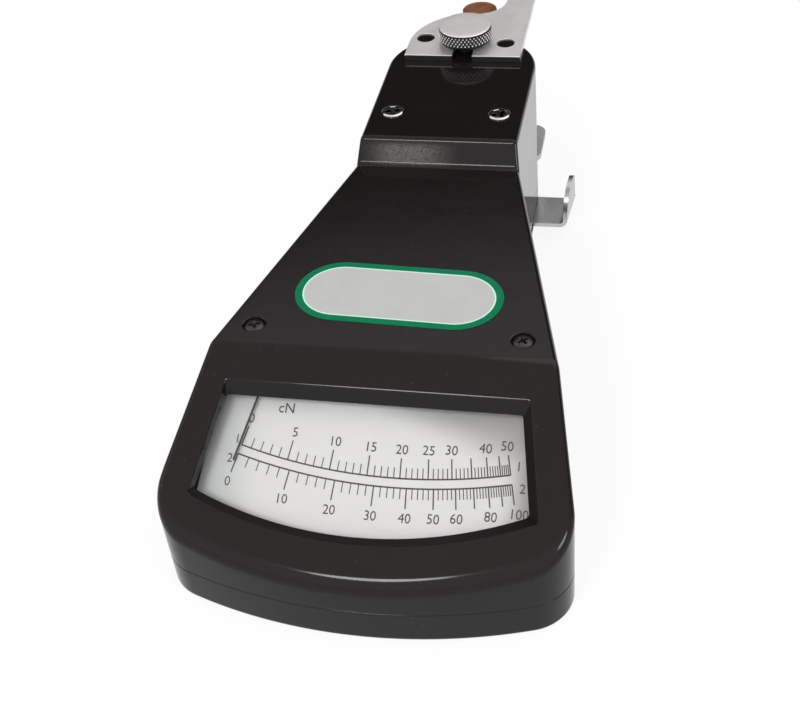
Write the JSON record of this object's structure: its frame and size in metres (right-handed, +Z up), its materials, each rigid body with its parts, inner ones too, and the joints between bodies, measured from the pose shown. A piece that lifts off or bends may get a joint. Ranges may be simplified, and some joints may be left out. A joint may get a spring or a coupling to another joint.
{
  "type": "yarn tension meter",
  "caption": "Hand-held mechanical yarn tension meter: black moulded case with a glazed sloping dial, swinging needle, sprung sensing roller between guide rollers and a side release lever.",
  "frame": {"origin": "on the flat back that the meter lies on, on its centre line and halfway along the case", "axes": "+Z up from the back through the panels, +Y towards the roller head, +X to the reader's right"},
  "size_m": [0.1164, 0.2744, 0.0715],
  "materials": {
    "black_moulding": "glossy black moulding, lightly scuffed",
    "window_glass": "clear flat pane",
    "dial_print": "pale matt enamel with a printed black scale",
    "label_print": "printed film: green border round a pale blank centre",
    "nickel": "satin nickel plate",
    "zinc_steel": "zinc-plated",
    "black_steel": "blackened",
    "grey_casting": "as cast, faces milled",
    "bright_steel": "ground",
    "yellow_metal": "turned",
    "blued_steel": "blued strip",
    "black_rubber": "matt",
    "felt": "pressed felt",
    "brown_moulding": "polished brown moulding"
  },
  "bodies": {
    "case": {"upper_case": "black_moulding", "lower_case": "black_moulding", "dial_glass": "window_glass", "dial_plate": "dial_print", "dial_screws": "zinc_steel", "label": "label_print", "neck_screws": "nickel", "case_screws": "black_steel", "chassis_plate": "zinc_steel", "chassis_screws": "zinc_steel", "front_frame": "grey_casting", "rear_frame": "grey_casting", "frame_screws": "zinc_steel", "front_bush": "yellow_metal", "rear_bush": "yellow_metal", "stop_buffer": "black_rubber", "dust_felt": "felt", "bridge_pillars": "yellow_metal", "bridge_plate": "yellow_metal", "bridge_screws": "zinc_steel", "upper_bush": "yellow_metal", "lower_bush": "yellow_metal", "spiral_spring": "blued_steel", "spring_stud": "yellow_metal", "guide_plate": "nickel", "guide_axles": "bright_steel", "guide_clips": "zinc_steel", "screw_insert": "black_steel", "lever_pin": "bright_steel", "lever_clip": "zinc_steel"},
    "slide": {"slide_rod": "bright_steel", "crosshead": "grey_casting", "release_post": "bright_steel", "rack_bar": "bright_steel", "roller_arm": "grey_casting", "roller_axle": "bright_steel", "roller_clip": "zinc_steel"},
    "pointer": {"spring_collet": "yellow_metal", "pointer_shaft": "bright_steel", "sector_gear": "yellow_metal", "pointer_hub": "grey_casting", "needle": "black_steel", "balance_weight": "yellow_metal"},
    "sensing_roller": {"sensing_roller": "brown_moulding", "roller_cap": "brown_moulding"},
    "left_guide": {"left_guide_roller": "brown_moulding"},
    "right_guide": {"right_guide_roller": "brown_moulding"},
    "lever": {"release_lever": "nickel"},
    "clamp_washer": {"thumb_washer": "black_steel"},
    "clamp_screw": {"thumb_screw": "nickel"}
  },
  "joints": [
    {"name": "sensing_slide", "type": "slide", "parent": "case", "child": "slide", "axis": [0, -1, 0], "range_m": [0, 0.00586], "stiffness_N_per_m": 120, "springref_m": -0.002},
    {"name": "pointer_turn", "type": "hinge", "parent": "case", "child": "pointer", "pos_m": [0, 0.08025, 0.03], "axis": [0, 0, 1], "range_deg": [0, 28]},
    {"name": "lever_turn", "type": "hinge", "parent": "case", "child": "lever", "pos_m": [-0.016, 0.085, 0.0048], "axis": [0, 0, -1], "range_deg": [0, 14.1]},
    {"name": "sensing_roller_spin", "type": "hinge", "parent": "slide", "child": "sensing_roller", "pos_m": [0, 0.137, 0.055], "axis": [0, 0, 1], "continuous": true},
    {"name": "left_guide_spin", "type": "hinge", "parent": "case", "child": "left_guide", "pos_m": [-0.012, 0.1185, 0.055], "axis": [0, 0, 1], "continuous": true},
    {"name": "right_guide_spin", "type": "hinge", "parent": "case", "child": "right_guide", "pos_m": [0.012, 0.1185, 0.055], "axis": [0, 0, 1], "continuous": true},
    {"name": "clamp_lift", "type": "slide", "parent": "case", "child": "clamp_washer", "axis": [0, 0, 1], "range_m": [0, 0.0034]},
    {"name": "clamp_turn", "type": "hinge", "parent": "clamp_washer", "child": "clamp_screw", "pos_m": [0, 0.10425, 0.066], "axis": [0, 0, 1], "range_deg": [0, 1080]}
  ],
  "couplings": [
    {"joint": "pointer_turn", "follows": "sensing_slide", "rad_per_m": 83.333},
    {"joint": "lever_turn", "follows": "sensing_slide", "rad_per_m": 41.667},
    {"joint": "clamp_lift", "follows": "clamp_turn", "m_per_rad": 0.00015915}
  ]
}
